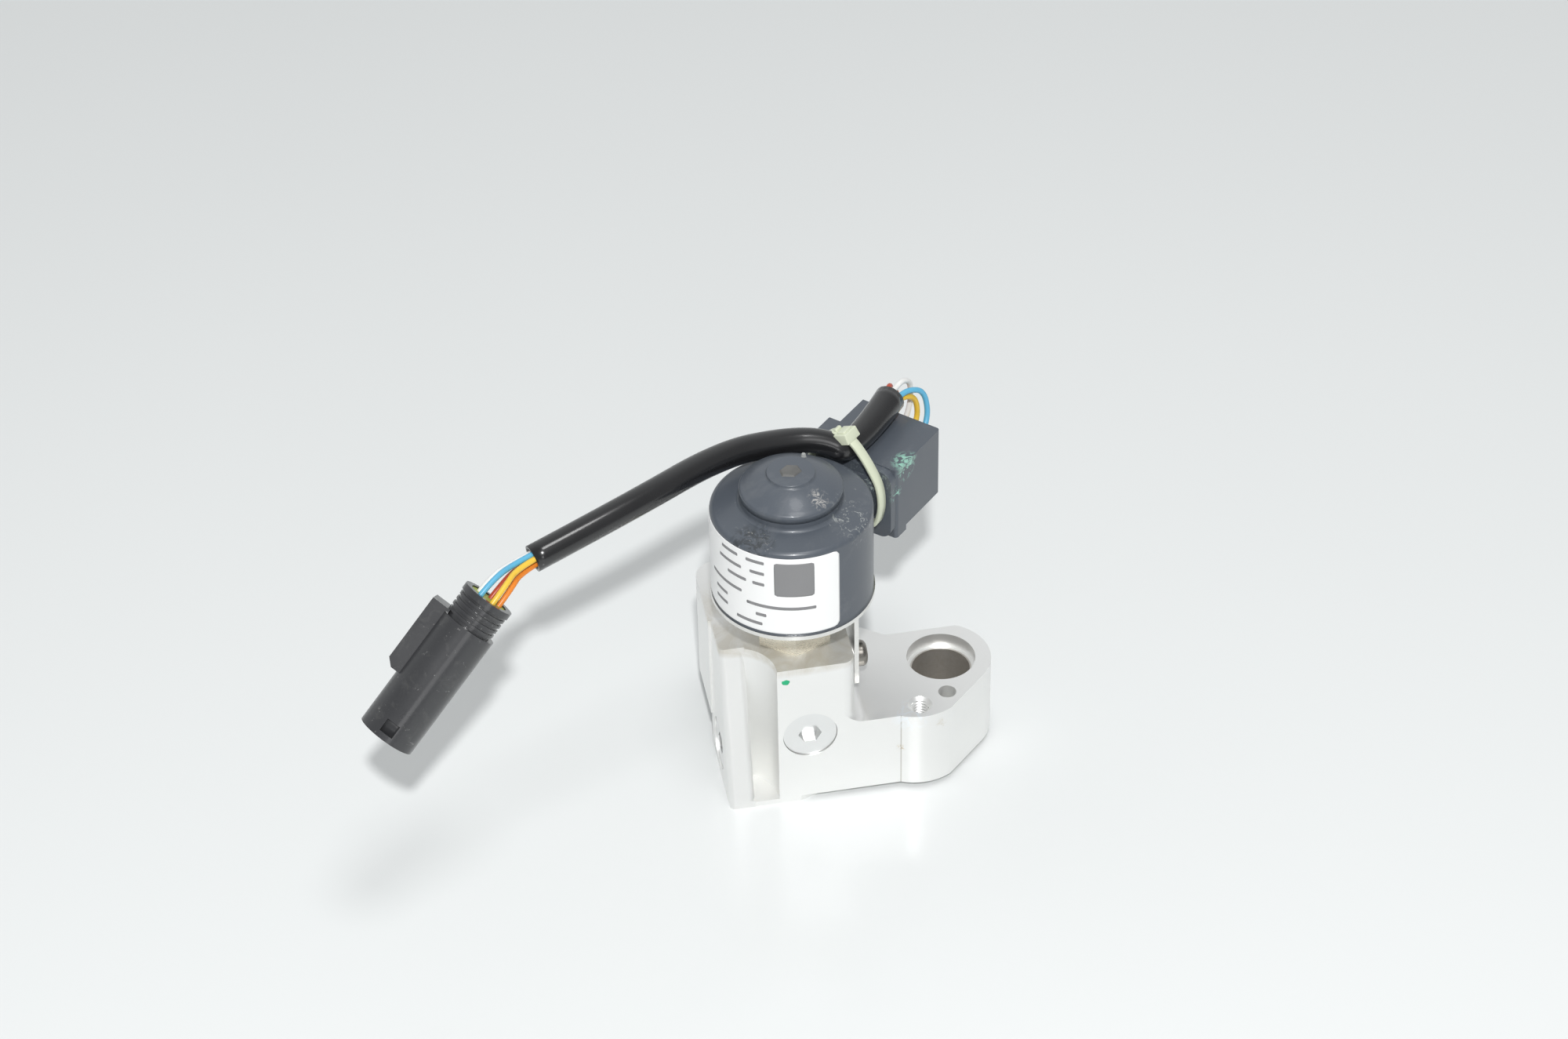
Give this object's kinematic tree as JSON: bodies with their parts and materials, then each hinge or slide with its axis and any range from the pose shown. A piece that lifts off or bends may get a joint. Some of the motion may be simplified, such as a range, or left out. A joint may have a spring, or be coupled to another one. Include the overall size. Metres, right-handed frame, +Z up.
{
  "type": "expansion valve",
  "caption": "Electronic expansion valve: machined aluminium block with a ported side arm, stepper coil on a hexagon cartridge, tied cable and round connector.",
  "frame": {"origin": "needle axis, in the plane of the foot pad the block stands on", "axes": "+Z up along the needle axis, -Y out of the block's front plane, +X towards the arm"},
  "size_m": [0.1452, 0.074, 0.0856],
  "materials": {
    "block": "machined satin",
    "plug": "machined satin",
    "seal": "matt",
    "brass": "satin",
    "steel": "machined",
    "magnet": "matt",
    "hub": "satin",
    "coil": "moulded satin",
    "board": "matt",
    "copper": "enamelled",
    "iron": "satin",
    "label": "satin",
    "sheet": "bright",
    "screw": "dark plated",
    "nylon": "satin",
    "sleeve": "satin",
    "wire_blue": "satin",
    "wire_yellow": "satin",
    "wire_orange": "satin",
    "wire_white": "satin",
    "wire_red": "satin",
    "connector": "moulded",
    "wire_seal": "satin"
  },
  "bodies": {
    "valve": {"valve_block": "block", "front_plug": "plug", "front_plug_seal": "seal", "side_plug": "plug", "side_plug_seal": "seal", "valve_seat": "brass", "hex_base": "steel", "base_seal": "seal", "motor_can": "steel", "guide_bush": "brass", "coil_housing": "coil", "box_cover": "coil", "terminal_board": "board", "lower_winding": "copper", "upper_winding": "copper", "stator_ring": "iron", "coil_label": "label", "coil_bracket": "sheet", "bracket_screw": "screw", "cable_tie": "nylon", "cable_sleeve": "sleeve", "wire_blue": "wire_blue", "wire_yellow": "wire_yellow", "wire_orange": "wire_orange", "wire_white": "wire_white", "wire_red": "wire_red", "connector_body": "connector", "wire_seals": "wire_seal", "connector_pins": "brass"},
    "needle": {"needle": "steel"},
    "rotor": {"rotor_magnet": "magnet", "rotor_hub": "hub", "spindle": "steel"}
  },
  "joints": [
    {"name": "needle_lift", "type": "slide", "parent": "valve", "child": "needle", "axis": [0, 0, 1], "range_m": [0, 0.003]},
    {"name": "rotor_turn", "type": "hinge", "parent": "needle", "child": "rotor", "pos_m": [0, 0, 0.06], "axis": [0, 0, 1], "range_deg": [0, 1800]}
  ],
  "couplings": [
    {"joint": "rotor_turn", "follows": "needle_lift", "rad_per_m": 10472}
  ]
}
